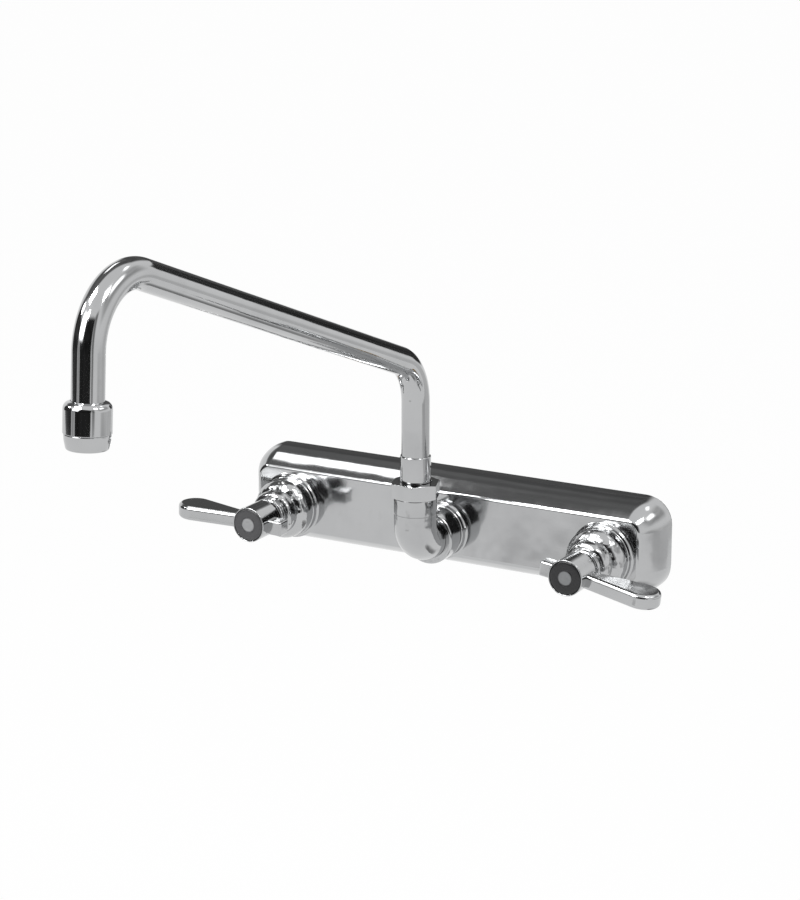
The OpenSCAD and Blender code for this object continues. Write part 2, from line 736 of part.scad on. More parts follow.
module outlet_elbow() color(chrome) difference() {
    union() {
        on_wall() lift(flange_back) cylinder(r = union_neck_r - slip_clear, h = union_flange_t);
        elbow_bend(elbow_r);
        on_wall() lift(flange_back)
            cylinder(r = elbow_r - seam_step, h = elbow_turn_out - flange_back + seam_lap);
        translate([0, -spout_out, elbow_turn_r - seam_lap]) {
            cylinder(r = elbow_r - seam_step, h = elbow_top - elbow_turn_r + seam_lap);
            cylinder(r = packing_neck_r, h = packing_neck_top - elbow_turn_r + seam_lap);
        }
    }
    elbow_bend(elbow_bore_r);
    on_wall() lift(flange_back - over)
        cylinder(r = elbow_bore_r + seam_step, h = elbow_turn_out - flange_back + over + seam_lap);
    translate([0, -spout_out, 0]) {
        lift(elbow_seat) cylinder(r = elbow_hole_r, h = packing_neck_top - elbow_seat + over);
        lift(elbow_line) ring(elbow_r + over, elbow_r - elbow_line_depth, elbow_line_h);
    }
}

// Round nut that draws the elbow's flange against the neck of the casting
module union_nut() color(chrome) on_wall() difference() {
    rotate_extrude() polygon(concat(
        [[0, union_back], [union_nut_r - union_round, union_back]],
        arc(union_nut_r - union_round, union_back + union_round, union_round, -90, 0),
        arc(union_nut_r - union_round, union_front - union_round, union_round, 0, 90),
        [[0, union_front]]));
    lift(union_back - over) cylinder(r = union_inner_r, h = flange_front - union_back + over + flange_slack);
    lift(union_back) cylinder(r = elbow_r + slip_clear, h = union_front - union_back + over);
}

module packing_nut() color(chrome) translate([0, -spout_out, 0]) difference() {
    intersection() {
        rotate([0, 0, -packing_nut_turn]) lift(elbow_top + face_gap)
            hex(packing_nut_af, packing_nut_h - face_gap);
        union() {
            lift(elbow_top) cylinder(r = packing_nut_af, h = packing_nut_h - packing_nut_chamfer);
            lift(nut_top - packing_nut_chamfer) cylinder(r1 = packing_nut_af / sqrt(3) + slip_clear,
                r2 = packing_nut_af / 2 - slip_clear, h = packing_nut_chamfer);
        }
    }
    lift(elbow_top - over) cylinder(r = nut_inner_r, h = nut_ceiling - elbow_top + over);
    lift(elbow_top) cylinder(r = nut_hole_r, h = packing_nut_h + over);
}

module friction_washer() color(nylon) translate([0, -spout_out, packing_neck_top])
    ring(packing_neck_r - slip_clear, nut_hole_r, friction_washer_t);

// Swivel: the sleeve that holds the tube above, the journal with its seals below

module spout_swivel() color(chrome) translate([0, -spout_out, 0]) difference() {
    union() {
        lift(journal_foot) cylinder(r = journal_r, h = sleeve_low - journal_foot + over);
        lift(sleeve_low) cylinder(r = sleeve_r, h = sleeve_h);
        lift(sleeve_top - sleeve_flare_h)
            cylinder(r1 = sleeve_r, r2 = sleeve_r + sleeve_flare, h = sleeve_flare_h);
    }
    lift(journal_foot - over) cylinder(r = swivel_bore_r, h = sleeve_top - journal_foot + over * 2);
    lift(tube_foot) cylinder(r = tube_r + slip_clear, h = tube_socket + over);
    for (i = [0, 1]) lift(seal_low + i * spout_ring_pitch - spout_ring_r - slip_clear)
        ring(journal_r + over, ring_groove_r, spout_ring_r * 2 + slip_clear * 2);
    lift(ring_low - slip_clear)
        ring(journal_r + over, journal_r - spring_groove_depth, spring_ring_t + slip_clear * 2);
}

module spout_seals() color(rubber) translate([0, -spout_out, 0])
    for (i = [0, 1]) lift(seal_low + i * spout_ring_pitch) o_ring(journal_r, spout_ring_r);

// Open spring ring in the journal's groove
module spout_spring_ring() color(steel) translate([0, -spout_out, ring_low]) difference() {
    ring(spring_ring_r, journal_r - spring_groove_depth + slip_clear, spring_ring_t);
    translate([0, -spring_slot / 2, -over]) cube([spring_ring_r + over, spring_slot, spring_ring_t + over * 2]);
}

// Spout tube: riser, bend, rising run, bend and outlet leg

// A straight length laps a little into each bend, inside the bend's own wall.
module straight(a, b, lap_a, lap_b) {
    d = b - a;
    translate([a.x, a.y, 0]) rotate([0, 0, atan2(d.y, d.x)]) rotate([0, 90, 0])
        lift(-lap_a) ring(tube_r - seam_step, tube_r - tube_wall + seam_step, norm(d) + lap_a + lap_b);
}
module bend(centre, bend_r, from_angle, turn)
    translate([centre.x, centre.y, 0]) rotate([0, 0, from_angle]) rotate_extrude(angle = turn)
        translate([bend_r, 0]) difference() {
            circle(tube_r);
            circle(tube_r - tube_wall);
        }

module spout_tube() color(chrome) in_spout_plane() {
    straight([0, tube_foot], bend_1_start, 0, seam_lap);
    bend(bend_1_start + [riser_bend_r, 0], riser_bend_r, 180 - riser_turn, riser_turn);
    straight(bend_1_end, bend_2_start, seam_lap, seam_lap);
    bend(bend_2_start + [run_dir.y, -run_dir.x] * outlet_bend_r, outlet_bend_r, leg_slant, outlet_turn);
    straight(bend_2_end, corner_2 + leg_dir * tube_end, seam_lap, 0);
}

// Outlet collar and aerator

module outlet_collar() color(chrome) on_leg(leg_len) difference() {
    rotate_extrude() polygon(concat(
        [[0, 0], [tube_r + collar_mouth, 0]],
        arc(collar_r - shoulder_h, shoulder_h, shoulder_h, -shoulder_arc, 0),
        [[collar_r, collar_len - collar_mouth], [collar_r - collar_mouth, collar_len], [0, collar_len]]));
    lift(-over) cylinder(r = tube_r + slip_clear, h = collar_socket + over);
    lift(-over) cylinder(r = tube_r - tube_wall, h = collar_len);
    lift(washer_start - leg_len) cylinder(r = thread_bore_r, h = collar_end - washer_start + over);
}

module aerator_washer() color(rubber) on_leg(washer_start)
    ring(aerator_thread_r, tube_r - tube_wall, aerator_washer_t);

module aerator_housing() color(chrome) on_leg(aerator_start) difference() {
    union() {
        cylinder(r = aerator_thread_r, h = aerator_thread_h + face_gap);
        lift(aerator_thread_h + face_gap)
            cylinder(r1 = collar_r - collar_mouth, r2 = aerator_rim_r, h = aerator_h - face_gap);
    }
    lift(-over) cylinder(r = aerator_bore_r, h = aerator_thread_h + aerator_h - aerator_lip_h + over);
    cylinder(r = aerator_bore_r - aerator_lip, h = aerator_thread_h + aerator_h + over);
}

module aerator_insert() color(nylon) on_leg(insert_start) difference() {
    cylinder(r = aerator_bore_r - slip_clear, h = screen_start - insert_start);
    for (i = [1:insert_holes]) rotate([0, 0, i * 360 / insert_holes])
        translate([aerator_bore_r * insert_ring_share, 0, -over])
            cylinder(r = aerator_bore_r * insert_hole_share, h = screen_start - insert_start + over * 2);
}

module aerator_screen() color(steel) on_leg(screen_start) difference() {
    cylinder(r = aerator_bore_r - slip_clear, h = screen_t);
    pitch = aerator_bore_r * 2 / screen_holes;
    for (x = [1:screen_holes - 1], y = [1:screen_holes - 1]) {
        px = (x - screen_holes / 2) * pitch;
        py = (y - screen_holes / 2) * pitch;
        if (norm([px, py]) < aerator_bore_r - aerator_lip - pitch / 2)
            translate([px - pitch * hole_share / 2, py - pitch * hole_share / 2, -over])
                cube([pitch * hole_share, pitch * hole_share, screen_t + over * 2]);
    }
}

body_casting();
wall_gasket();
hot_shank();
cold_shank();
shank_rubber_washers();
shank_steel_washers();
shank_lock_nuts();
hot_seat_seal();
cold_seat_seal();
hot_cartridge();
cold_cartridge();
hot_lower_disc();
cold_lower_disc();
hot_bonnet();
cold_bonnet();
union_washer();
outlet_elbow();
union_nut();
packing_nut();
friction_washer();
hot_stem();
hot_stem_seals();
hot_upper_disc();
hot_lever();
hot_lever_screw();
hot_index_button();
cold_stem();
cold_stem_seals();
cold_upper_disc();
cold_lever();
cold_lever_screw();
cold_index_button();
spout_swivel();
spout_seals();
spout_spring_ring();
spout_tube();
outlet_collar();
aerator_washer();
aerator_housing();
aerator_insert();
aerator_screen();
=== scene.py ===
import math

import bpy
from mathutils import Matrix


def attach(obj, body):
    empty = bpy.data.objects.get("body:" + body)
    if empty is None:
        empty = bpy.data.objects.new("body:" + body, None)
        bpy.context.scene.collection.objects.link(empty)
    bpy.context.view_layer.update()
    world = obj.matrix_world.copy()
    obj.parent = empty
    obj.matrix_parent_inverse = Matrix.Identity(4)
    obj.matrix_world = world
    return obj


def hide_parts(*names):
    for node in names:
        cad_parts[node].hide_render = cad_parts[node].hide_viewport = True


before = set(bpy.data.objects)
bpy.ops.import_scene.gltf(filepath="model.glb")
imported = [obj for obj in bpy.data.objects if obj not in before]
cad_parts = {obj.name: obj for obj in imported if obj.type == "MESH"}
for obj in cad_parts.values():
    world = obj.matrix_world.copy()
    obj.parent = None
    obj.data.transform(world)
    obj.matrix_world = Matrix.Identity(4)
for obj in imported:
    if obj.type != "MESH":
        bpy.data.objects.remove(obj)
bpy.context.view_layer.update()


# Body casting
# The long brass casting that lies flat on the wall. It is sand cast, its crowned
# sides are ground and polished, and then it is plated with nickel and chromium.

class Shade:
    """A socket of a material that takes Python arithmetic. Each operation adds its own node."""

    def __init__(self, tree, socket):
        self.tree = tree
        self.socket = socket

    def node(self, kind, settings, inputs, output=0):
        """Adds any other node: its settings first, then the values or links of its sockets."""
        made = self.tree.nodes.new("ShaderNode" + kind)
        for name, value in settings.items():
            setattr(made, name, value)
        for name, value in inputs.items():
            if isinstance(value, Shade):
                self.tree.links.new(value.socket, made.inputs[name])
            else:
                made.inputs[name].default_value = value
        return Shade(self.tree, made.outputs[output])

    def math(self, operation, first, second=0.0):
        return self.node("Math", {"operation": operation}, {0: first, 1: second})

    def __add__(self, other):
        return self.math("ADD", self, other)

    def __radd__(self, other):
        return self.math("ADD", other, self)

    def __sub__(self, other):
        return self.math("SUBTRACT", self, other)

    def __rsub__(self, other):
        return self.math("SUBTRACT", other, self)

    def __mul__(self, other):
        return self.math("MULTIPLY", self, other)

    def __rmul__(self, other):
        return self.math("MULTIPLY", other, self)

    def within(self, low, high):
        """0 below low, 1 above high, and a smooth step between."""
        return self.node("MapRange", {"interpolation_type": "SMOOTHSTEP"},
                         {"Value": self, "From Min": low, "From Max": high})

    def noise(self, scale, detail=2.0, stretch=(1, 1, 1), roughness=0.5):
        """Noise on a position. A stretch below 1 draws the pattern out along that axis."""
        where = self.node("VectorMath", {"operation": "MULTIPLY"}, {0: self, 1: stretch})
        return self.node("TexNoise", {}, {"Vector": where, "Scale": scale, "Detail": detail,
                                          "Roughness": roughness})

    def mix(self, first, second):
        """Colour first where this value is 0, and colour second where it is 1."""
        made = self.tree.nodes.new("ShaderNodeMix")
        made.data_type = "RGBA"
        self.tree.links.new(self.socket, made.inputs["Factor"])
        for name, colour in (("A", first), ("B", second)):
            socket = [s for s in made.inputs if s.name == name and s.type == "RGBA"][0]
            socket.default_value = (*colour, 1)
        return Shade(self.tree, [s for s in made.outputs if s.type == "RGBA"][0])


def new_finish(name, **uniform):
    """A material with its shader, and the object's own position to build patterns on."""
    finish = bpy.data.materials.new(name)
    finish.use_nodes = True
    tree = finish.node_tree
    shader = tree.nodes["Principled BSDF"]
    for socket, value in uniform.items():
        shader.inputs[socket.replace("_", " ")].default_value = value
    position = Shade(tree, tree.nodes.new("ShaderNodeTexCoord").outputs["Object"])
    return finish, position, shader


def feed(shader, socket, value):
    """Links a value that varies over the surface to a socket of the shader."""
    value.tree.links.new(value.socket, shader.inputs[socket])


def bump(shader, height, depth):
    """Raises the surface by height, in which 1 stands for depth in metres."""
    feed(shader, "Normal", height.node("Bump", {}, {"Height": height, "Distance": depth, "Strength": 1.0}))


def chrome(name, ripple=0.0, ripple_scale=45.0, haze=0.05, brushed=(1, 1, 1), lines=0.0):
    """Chromium plate: ripple is how wavy the metal under it was left, haze is the wear
    of its mirror, and brushed and lines are the direction and depth of polishing marks."""
    clean, smeared = (0.475, 0.48, 0.485), (0.41, 0.415, 0.42)
    relief = 0.0001
    finish, place, shader = new_finish(name, Metallic=1.0)
    smears = place.noise(scale=28, detail=3, roughness=0.6).within(0.35, 0.75)
    scratches = place.noise(scale=900, detail=2, stretch=brushed).within(0.55, 0.8)
    spots = place.noise(scale=210, detail=1).within(0.66, 0.74)
    feed(shader, "Roughness", haze + smears * 0.04 + scratches * 0.02 + spots * 0.02)
    feed(shader, "Base Color", (smears * 0.65 + spots * 0.15).mix(clean, smeared))
    broad = place.noise(scale=ripple_scale, detail=1)
    fine = place.noise(scale=ripple_scale * 2.6, detail=1)
    waves = (broad + fine * 0.3) * ripple
    marks = place.noise(scale=1400, detail=1, stretch=brushed) * lines
    bump(shader, waves + marks, relief)
    return finish


mm = 0.001


def only(piece):
    """Selects this piece alone, and makes it the one that operators act on."""
    bpy.ops.object.select_all(action="DESELECT")
    piece.select_set(True)
    bpy.context.view_layer.objects.active = piece


def settle(piece):
    """Puts a piece's place and turn in its mesh, so that its object sits at the origin."""
    only(piece)
    bpy.ops.object.transform_apply(location=True, rotation=True, scale=True)


def begin(piece, name):
    """Names a new primitive, settles it and opens it in edit mode with its faces selected."""
    piece.name = piece.data.name = name
    settle(piece)
    bpy.ops.object.mode_set(mode="EDIT")
    bpy.ops.mesh.select_mode(type="FACE")
    bpy.ops.mesh.select_all(action="SELECT")
    return piece


def turned(name, profile, around=96):
    """Turns a piece about Z, as on a lathe: a disc at the first radius and height in
    millimetres is extruded from one pair of profile to the next."""
    radius, height = profile[0]
    bpy.ops.object.select_all(action="DESELECT")
    bpy.ops.mesh.primitive_circle_add(vertices=around, radius=radius * mm, fill_type="NGON",
                                      location=(0, 0, height * mm))
    piece = begin(bpy.context.object, name)
    for next_radius, next_height in profile[1:]:
        bpy.ops.mesh.extrude_region_move(
            TRANSFORM_OT_translate={"value": (0, 0, (next_height - height) * mm)})
        bpy.ops.transform.resize(value=(next_radius / radius, next_radius / radius, 1),
                                 center_override=(0, 0, next_height * mm))
        radius, height = next_radius, next_height
    bpy.ops.object.mode_set(mode="OBJECT")
    return piece


def apply(piece, kind, **settings):
    """Adds a modifier, sets it and applies it."""
    only(piece)
    made = piece.modifiers.new(kind.title(), kind)
    for name, value in settings.items():
        setattr(made, name, value)
    bpy.ops.object.modifier_apply(modifier=made.name)


def polish(piece, finish):
    """Outward faces, smooth shading that keeps flats flat, and the finish."""
    weld_gap, sharp_from = 1e-6, 40
    only(piece)
    bpy.ops.object.mode_set(mode="EDIT")
    bpy.ops.mesh.select_all(action="SELECT")
    bpy.ops.mesh.remove_doubles(threshold=weld_gap)
    bpy.ops.mesh.normals_make_consistent(inside=False)
    bpy.ops.object.mode_set(mode="OBJECT")
    bpy.ops.object.shade_smooth_by_angle(angle=math.radians(sharp_from))
    apply(piece, "WEIGHTED_NORMAL", keep_sharp=True, weight=70)
    piece.data.materials.clear()
    piece.data.materials.append(finish)


def on_wall(piece, x=0.0):
    """From bench to wall: the bench's up points out from the wall, x to the side of its middle."""
    piece.rotation_euler = (math.pi / 2, 0, 0)
    settle(piece)
    piece.location = (x * mm, 0, 0)
    settle(piece)


def join(piece, *others):
    """Makes the others part of the first piece."""
    only(piece)
    for other in others:
        other.select_set(True)
    bpy.ops.object.join()


body_length = 264.8
body_height = 55.0
body_lift = 3.6
corner_r = 16.0
crown = [(0, 2), (0, 6), (0.25, 8.5), (0.7, 11), (1.3, 13.5), (2.1, 16), (3.1, 18.4), (4.3, 20.6),
         (5.8, 22.9), (7.2, 24.7), (7.75, 25.45), (8.3, 26.15), (8.9, 26.65), (9.6, 26.93), (10.4, 27)]

bpy.ops.object.select_all(action="DESELECT")
bpy.ops.mesh.primitive_plane_add(size=1, location=(0, body_lift * mm, crown[0][1] * mm))
body = bpy.context.object
body.scale = (body_length * mm, body_height * mm, 1)
begin(body, "body_shell")
bpy.ops.mesh.select_mode(type="VERT")
bpy.ops.mesh.bevel(offset=corner_r * mm, segments=16, affect="VERTICES")
bpy.ops.mesh.select_mode(type="FACE")
bpy.ops.mesh.select_all(action="SELECT")
for (inset, out), (next_inset, next_out) in zip(crown, crown[1:]):
    rise = (next_out - out) * mm
    if next_inset == inset:
        bpy.ops.mesh.extrude_region_move(TRANSFORM_OT_translate={"value": (0, 0, rise)})
    else:
        bpy.ops.mesh.inset(thickness=(next_inset - inset) * mm, depth=rise)
bpy.ops.object.mode_set(mode="OBJECT")
on_wall(body)

valve_x = 101.6
pad_out = 31
pad_side = [(1.8, 26.7), (1.05, 27.12), (0.5, 27.6), (0.15, 28.2), (0, 28.9), (0, 30.2),
            (-0.15, 30.65), (-0.55, 30.92), (-1.1, pad_out)]
neck_chamfer = 0.5
valve_pad_r, valve_neck_r, valve_neck_out = 18, 14.2, 37.5
union_pad_r, union_neck_r, union_neck_out = 15.4, 13.6, 36.4
for x, pad_r, neck_r, neck_out in ((-valve_x, valve_pad_r, valve_neck_r, valve_neck_out),
                                   (0, union_pad_r, union_neck_r, union_neck_out),
                                   (valve_x, valve_pad_r, valve_neck_r, valve_neck_out)):
    boss = turned("boss", [(pad_r + step, out) for step, out in pad_side]
                  + [(neck_r, pad_out), (neck_r, neck_out - neck_chamfer),
                     (neck_r - neck_chamfer, neck_out)])
    on_wall(boss, x)
    join(body, boss)
polish(body, chrome("body_chrome", ripple=4.5, ripple_scale=32, haze=0.09,
                    brushed=(0.05, 1, 1), lines=0.02))
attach(body, "body")
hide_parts("body_casting")


# Wall gasket, rubber washers and seals
# Die-cut black rubber sheet between casting and wall, a rubber washer behind the
# wall on each shank, and the seals inside. All are matte, and bloom a little grey.

def dress(finish, *names):
    """Gives a CAD node that already has the right shape its finish."""
    for name in names:
        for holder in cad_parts[name].material_slots:
            holder.material = finish


fresh_rubber, bloomed_rubber = (0.018, 0.018, 0.019), (0.05, 0.05, 0.048)
rubber, place, shader = new_finish("black_rubber", Specular_IOR_Level=0.35)
bloom = place.noise(scale=60, detail=4, roughness=0.65).within(0.4, 0.8)
grain = place.noise(scale=1500, detail=2)
feed(shader, "Base Color", bloom.mix(fresh_rubber, bloomed_rubber))
feed(shader, "Roughness", 0.62 + bloom * 0.2)
bump(shader, grain, 0.00006)
dress(rubber, "wall_gasket", "shank_rubber_washers", "hot_seat_seal", "cold_seat_seal", "union_washer",
      "hot_stem_seals", "cold_stem_seals", "spout_seals", "aerator_washer")


# Inlet shanks
# Turned brass shanks with a straight pipe thread over their whole length. The rear
# end of the thread is a little smaller, so that the lock nut slides on over it.

bright_brass, dark_brass = (0.72, 0.53, 0.24), (0.46, 0.31, 0.14)
lathe_marks = 9000
brass, place, shader = new_finish("turned_brass", Metallic=1.0)
tarnish = place.noise(scale=55, detail=4, roughness=0.6).within(0.35, 0.75)
along_y = place.node("SeparateXYZ", {}, {0: place}, "Y") * lathe_marks
tool_marks = along_y.math("SINE", along_y) * 0.5 + 0.5
feed(shader, "Base Color", tarnish.mix(bright_brass, dark_brass))
feed(shader, "Roughness", 0.24 + tarnish * 0.22)
bump(shader, tool_marks * 0.5 + place.noise(scale=700, detail=2), 0.00003)

shank_bore_r = 6.5
shank_front, shank_rear = 12.8, -40
shank_core = [(shank_bore_r, shank_front), (9.2, shank_front), (9.2, 12), (9.3, -39.2),
              (8.7, shank_rear), (shank_bore_r, shank_rear), (shank_bore_r, 12)]
pitch = 1.81
tooth_depth = 1.2
rear_thread_r, rear_start, rear_end = 10.45, -39.6, -24.0
front_thread_r, front_start, front_end = 10.8, -24.4, 12.3


def thread(name, crest_r, low, high):
    """A thread from one height to another: the section of one tooth, turned by a Screw modifier."""
    bpy.ops.object.select_all(action="DESELECT")
    bpy.ops.mesh.primitive_plane_add(size=1)
    piece = begin(bpy.context.object, name)
    bpy.ops.mesh.delete(type="ONLY_FACE")
    bpy.ops.object.mode_set(mode="OBJECT")
    root_r = crest_r - tooth_depth
    tooth = [(root_r, 0), (crest_r, 0.62), (crest_r, 0.86), (root_r, 1.48)]
    corners = [piece.data.vertices[i] for i in (0, 1, 3, 2)]
    for corner, (radius, height) in zip(corners, tooth):
        corner.co = (radius * mm, 0, (low + height) * mm)
    apply(piece, "SCREW", angle=2 * math.pi, screw_offset=pitch * mm, axis="Z",
          iterations=int((high - low) / pitch) - 1, steps=40, render_steps=40,
          use_normal_calculate=True)
    return piece


for side, x in (("hot", -valve_x), ("cold", valve_x)):
    shank = turned(side + "_shank_core", shank_core)
    on_wall(shank, x)
    for tag, crest_r, low, high in (("rear", rear_thread_r, rear_start, rear_end),
                                    ("front", front_thread_r, front_start, front_end)):
        ridge = thread(side + "_thread_" + tag, crest_r, low, high)
        on_wall(ridge, x)
        join(shank, ridge)
    shank.name = shank.data.name = side + "_threaded_shank"
    polish(shank, brass)
    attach(shank, "body")
    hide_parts(side + "_shank")


# Steel washers and lock nuts
# A stamped and zinc plated washer spreads each shank's pull on the back of the wall,
# and a brass hexagon nut, cut from bar and chamfered at both ends, draws it tight.

bright_zinc, dull_zinc = (0.62, 0.64, 0.66), (0.48, 0.5, 0.53)
zinc, place, shader = new_finish("zinc_plate", Metallic=1.0)
spangle = place.noise(scale=240, detail=3, roughness=0.6)
feed(shader, "Base Color", spangle.within(0.3, 0.7).mix(bright_zinc, dull_zinc))
feed(shader, "Roughness", 0.22 + spangle * 0.2)
bump(shader, place.noise(scale=1200, detail=2), 0.00003)


def soften(piece, width, segments=3, angle=28):
    """Rounds the edges that are sharper than an angle."""
    apply(piece, "BEVEL", width=width * mm, segments=segments, limit_method="ANGLE",
          angle_limit=math.radians(angle), profile=0.5)


def hexagon(name, across_flats, low, high, bore_r, chamfer):
    """A slice of hexagon bar with a bore. A barrel cuts its corners off at both ends, and
    chamfer scales how far along the nut that reaches."""
    corner = across_flats / math.sqrt(3)
    nut = turned(name, [(corner, low), (corner, high)], around=6)
    nut.rotation_euler = (0, 0, math.radians(30))
    settle(nut)
    wide, narrow = corner + 0.02, across_flats / 2 - 0.3
    drop = (wide - narrow) * math.tan(math.radians(26)) * chamfer
    barrel = turned("barrel", [(narrow, low), (wide, low + drop), (wide, high - drop), (narrow, high)])
    apply(nut, "BOOLEAN", operation="INTERSECT", solver="EXACT", object=barrel)
    bpy.data.objects.remove(barrel)
    drill = turned("drill", [(bore_r, low - 1), (bore_r, high + 1)])
    apply(nut, "BOOLEAN", operation="DIFFERENCE", solver="EXACT", object=drill)
    bpy.data.objects.remove(drill)
    return nut


washer_hole_r, washer_r = 10.9, 16.5
washer_front, washer_back, nut_back = -14, -15.5, -23.5
washer_section = [(washer_hole_r, washer_back), (16.1, washer_back), (washer_r, -15.2), (washer_r, -14.4),
                  (16.0, washer_front), (washer_hole_r, washer_front), (washer_hole_r, washer_back)]
for side, x in (("hot", -valve_x), ("cold", valve_x)):
    washer = turned(side + "_steel_washer", washer_section)
    on_wall(washer, x)
    polish(washer, zinc)
    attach(washer, "body")
    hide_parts("shank_steel_washers")
    nut = hexagon(side + "_lock_nut", across_flats=31.8, low=nut_back, high=washer_back,
                  bore_r=10.85, chamfer=1.0)
    soften(nut, width=0.25, segments=2)
    on_wall(nut, x)
    polish(nut, brass)
    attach(nut, "body")
    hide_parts("shank_lock_nuts")


# Cartridges, stems and ceramic discs
# The quarter-turn valves inside the bonnets: a turned brass barrel and stem each, and
# two white alumina discs, lapped flat, of which one stays and one turns with the stem.

dress(brass, "hot_cartridge", "cold_cartridge", "hot_stem", "cold_stem")

pale_ceramic, dark_ceramic = (0.86, 0.85, 0.82), (0.78, 0.77, 0.73)
ceramic, place, shader = new_finish("lapped_ceramic", IOR=1.7)
lapping = place.noise(scale=800, detail=2)
feed(shader, "Base Color", place.noise(scale=120, detail=3).mix(pale_ceramic, dark_ceramic))
feed(shader, "Roughness", 0.12 + lapping * 0.12)
bump(shader, lapping, 0.00001)
dress(ceramic, "hot_lower_disc", "cold_lower_disc", "hot_upper_disc", "cold_upper_disc")


# Bonnets
# A turned brass cap like a bell, with a collar and a nose, that screws on each valve
# neck and holds the cartridge down. It is polished all over.

def quarter(radius, top, rounding, next_radius, steps):
    """The rounded shoulder of a turned step, from its side as far in as the next radius."""
    last = math.acos(max(0.0, next_radius - radius + rounding) / rounding)
    return [(radius - rounding + rounding * math.cos(last * i / steps),
             top - rounding + rounding * math.sin(last * i / steps)) for i in range(steps + 1)]


bell_r, bell_top = 17.6, 42.6
bonnet_collar_r, bonnet_collar_top = 13.2, 50.3
nose_r, nose_top = 10.3, 53.7
bonnet_profile = ([(17.1, 31.1), (17.5, 31.25), (bell_r, 31.6)]
                  + quarter(bell_r, bell_top, rounding=7, next_radius=13.3, steps=12)
                  + quarter(bonnet_collar_r, bonnet_collar_top, rounding=3, next_radius=10.4, steps=7)
                  + quarter(nose_r, nose_top, rounding=1.3, next_radius=9.0, steps=5)
                  + [(7.8, nose_top), (7.8, 52.5)])
for side, x in (("hot", -valve_x), ("cold", valve_x)):
    bonnet = turned(side + "_dome", bonnet_profile)
    on_wall(bonnet, x)
    polish(bonnet, chrome(side + "_dome_chrome", ripple=16.0, ripple_scale=95, haze=0.13, lines=0.01))
    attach(bonnet, "body")
    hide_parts(side + "_bonnet")


# Lever handles
# One forging each: a round hub over the valve stem, a flat paddle that widens to a
# round tip, and a short square tail behind the hub.

hub_profile = [(6.5, 54.6), (8.4, 54.6), (10.3, 57.0), (10.3, 74.4), (9.6, 74.4), (9.6, 72.3)]
lever_out = 64.5
lever_drop = 1.0
plate_half = 4.3
plate_low, plate_high = -plate_half - lever_drop, plate_half - lever_drop
root_x, root_r = 8.24, 4.4
tip_x, tip_r = 42.1, 10.3
paddle_edge = 2.2
tail_x, tail_half, tail_r = 17.3, 3.2, 1.2
tail_edge = 1.15


def plate(name, rounds, low, high, rounding):
    """A flat bar whose outline wraps the given circles (along, across, radius). Its two flat
    faces are inset step by step, so that the edge is round."""
    edge_steps = 6
    bpy.ops.object.select_all(action="DESELECT")
    along, across, radius = rounds[0]
    bpy.ops.mesh.primitive_circle_add(vertices=64, radius=radius * mm, fill_type="NOTHING",
                                      location=(along * mm, across * mm, (low + rounding) * mm))
    piece = begin(bpy.context.object, name)
    for along, across, radius in rounds[1:]:
        bpy.ops.mesh.primitive_circle_add(vertices=64, radius=radius * mm, fill_type="NOTHING",
                                          location=(along * mm, across * mm, (low + rounding) * mm))
    bpy.ops.mesh.select_all(action="SELECT")
    bpy.ops.mesh.convex_hull()
    bpy.ops.mesh.dissolve_limited(angle_limit=math.radians(0.5), use_dissolve_boundaries=False)
    bpy.ops.mesh.select_all(action="SELECT")
    bpy.ops.mesh.extrude_region_move(
        TRANSFORM_OT_translate={"value": (0, 0, (high - low - 2 * rounding) * mm)})
    bpy.ops.mesh.select_all(action="SELECT")
    bpy.ops.mesh.normals_make_consistent(inside=False)
    for height in (low + rounding, high - rounding):
        bpy.ops.mesh.select_all(action="DESELECT")
        bpy.ops.object.mode_set(mode="OBJECT")
        for face in piece.data.polygons:
            face.select = abs(face.center.z - height * mm) < 0.01 * mm
        bpy.ops.object.mode_set(mode="EDIT")
        for step in range(edge_steps):
            start = math.radians(step * 90 / edge_steps)
            end = math.radians((step + 1) * 90 / edge_steps)
            bpy.ops.mesh.inset(thickness=rounding * (math.cos(start) - math.cos(end)) * mm,
                               depth=rounding * (math.sin(end) - math.sin(start)) * mm)
    bpy.ops.object.mode_set(mode="OBJECT")
    return piece


for side, x, way, tip_turn in (("hot", -valve_x, -1, 2.5), ("cold", valve_x, 1, 7.5)):
    lever = turned(side + "_handle_hub", hub_profile)
    soften(lever, width=0.45)
    on_wall(lever)
    paddle = plate("paddle", [(way * root_x, -lever_out, root_r), (way * tip_x, -lever_out, tip_r)],
                   plate_low, plate_high, paddle_edge)
    tail = plate("tail", [(-way * tail_x, -lever_out - tail_half, tail_r),
                          (-way * tail_x, -lever_out + tail_half, tail_r),
                          (0, -lever_out - tail_half, tail_r), (0, -lever_out + tail_half, tail_r)],
                 plate_low, plate_high, tail_edge)
    join(lever, paddle, tail)
    lever.rotation_euler = (0, math.radians(tip_turn), 0)
    settle(lever)
    lever.location = (x * mm, 0, 0)
    settle(lever)
    polish(lever, chrome(side + "_handle_chrome", ripple=1.6, ripple_scale=60, haze=0.1,
                         brushed=(0.08, 1, 1), lines=0.015))
    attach(lever, side + "_handle")
    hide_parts(side + "_lever")


# Lever screws, spring ring and aerator screen
# Small stainless parts that are hidden: the screw that holds each lever on its stem,
# the ring that keeps the spout's swivel in, and the woven screen of the aerator.

bright_steel, dull_steel = (0.6, 0.6, 0.61), (0.48, 0.48, 0.49)
stainless, place, shader = new_finish("stainless_steel", Metallic=1.0)
grain = place.noise(scale=900, detail=3, stretch=(1, 0.1, 1))
feed(shader, "Base Color", grain.mix(bright_steel, dull_steel))
feed(shader, "Roughness", 0.2 + grain * 0.2)
bump(shader, grain, 0.00002)
dress(stainless, "hot_lever_screw", "cold_lever_screw", "spout_spring_ring", "aerator_screen")


# Index buttons
# A glossy moulded plastic disc pressed in the front of each hub, dark, with a plain
# paler disc in a shallow ring at its middle. Nothing is printed on it.

